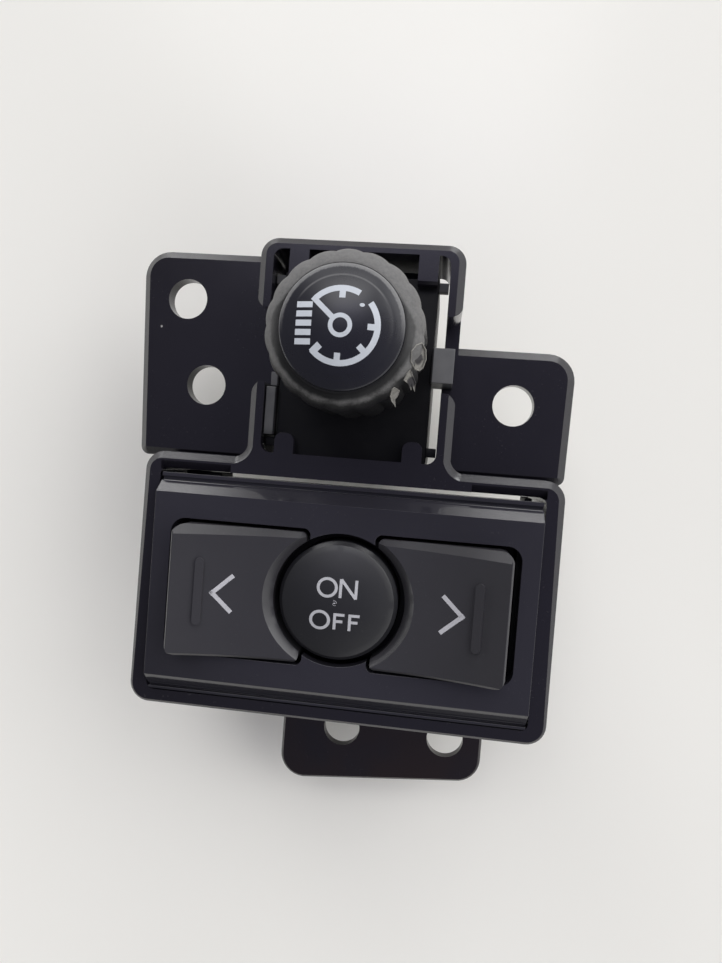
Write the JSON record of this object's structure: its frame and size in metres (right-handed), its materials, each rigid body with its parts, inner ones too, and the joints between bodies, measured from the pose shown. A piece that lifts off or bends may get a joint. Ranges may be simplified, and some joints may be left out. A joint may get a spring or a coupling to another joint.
{
  "type": "dimmer switch",
  "caption": "Dashboard switch panel: a moulded holder with a turning light-dimmer knob above a two-key module with a round ON / OFF button.",
  "frame": {"origin": "centre of the lower connector's mouth, straight behind the ON / OFF button, in the plane that the panel lies on", "axes": "+X to the viewer's right across the face, +Y towards the knob end, +Z out of the face towards the user"},
  "size_m": [0.0681, 0.0874, 0.0558],
  "materials": {
    "holder_plastic": "black injection-moulded plastic, semi-gloss on the ears",
    "housing_plastic": "black moulded plastic",
    "cover_plastic": "black moulded plastic",
    "pin_metal": "tinned",
    "board": "green solder mask",
    "lamp": "small moulded lamp",
    "light_guide": "clear moulded plastic",
    "wafer": "phenolic board with a printed track",
    "spring_steel": "bright strip",
    "rotor_plastic": "natural acetal",
    "sleeve_plastic": "smooth acetal",
    "core_plastic": "black",
    "grip_coating": "soft-touch coating, worn and torn",
    "lens_plastic": "smoked lens with a pale pictogram",
    "plate_plastic": "satin black",
    "key_plastic": "satin black with pale legends",
    "button_plastic": "satin black with pale legends",
    "silicone": "grey silicone"
  },
  "bodies": {
    "holder": {"mounting_holder": "holder_plastic", "dimmer_housing": "housing_plastic", "dimmer_cover": "cover_plastic", "dimmer_pins": "pin_metal", "dimmer_board": "board", "dimmer_lamp": "lamp", "light_post": "light_guide", "contact_wafer": "wafer", "detent_spring": "spring_steel", "knob_cap": "lens_plastic", "face_plate": "plate_plastic", "switch_housing": "housing_plastic", "contact_mat": "silicone", "legend_lamps": "lamp", "switch_board": "board", "switch_pins": "pin_metal", "switch_cover": "cover_plastic"},
    "knob": {"encoder_rotor": "rotor_plastic", "drive_sleeve": "sleeve_plastic", "knob_core": "core_plastic", "knob_grip": "grip_coating"},
    "left_key": {"left_key": "key_plastic"},
    "right_key": {"right_key": "key_plastic"},
    "button": {"on_off_button": "button_plastic"}
  },
  "joints": [
    {"name": "knob_turn", "type": "hinge", "parent": "holder", "child": "knob", "pos_m": [0, 0.0352, 0.036], "axis": [0, 0, 1], "range_deg": [-140, 140], "deforming": ["detent_spring"]},
    {"name": "left_key_tilt", "type": "hinge", "parent": "holder", "child": "left_key", "pos_m": [-0.0075, 0, 0.032], "axis": [0, -1, 0], "range_deg": [0, 3], "stiffness_Nm_per_rad": 0.3, "deforming": ["contact_mat"]},
    {"name": "right_key_tilt", "type": "hinge", "parent": "holder", "child": "right_key", "pos_m": [0.0075, 0, 0.032], "axis": [0, 1, 0], "range_deg": [0, 3], "stiffness_Nm_per_rad": 0.3, "deforming": ["contact_mat"]},
    {"name": "button_press", "type": "slide", "parent": "holder", "child": "button", "axis": [0, 0, -1], "range_m": [0, 0.001], "stiffness_N_per_m": 2500, "deforming": ["contact_mat"]}
  ]
}
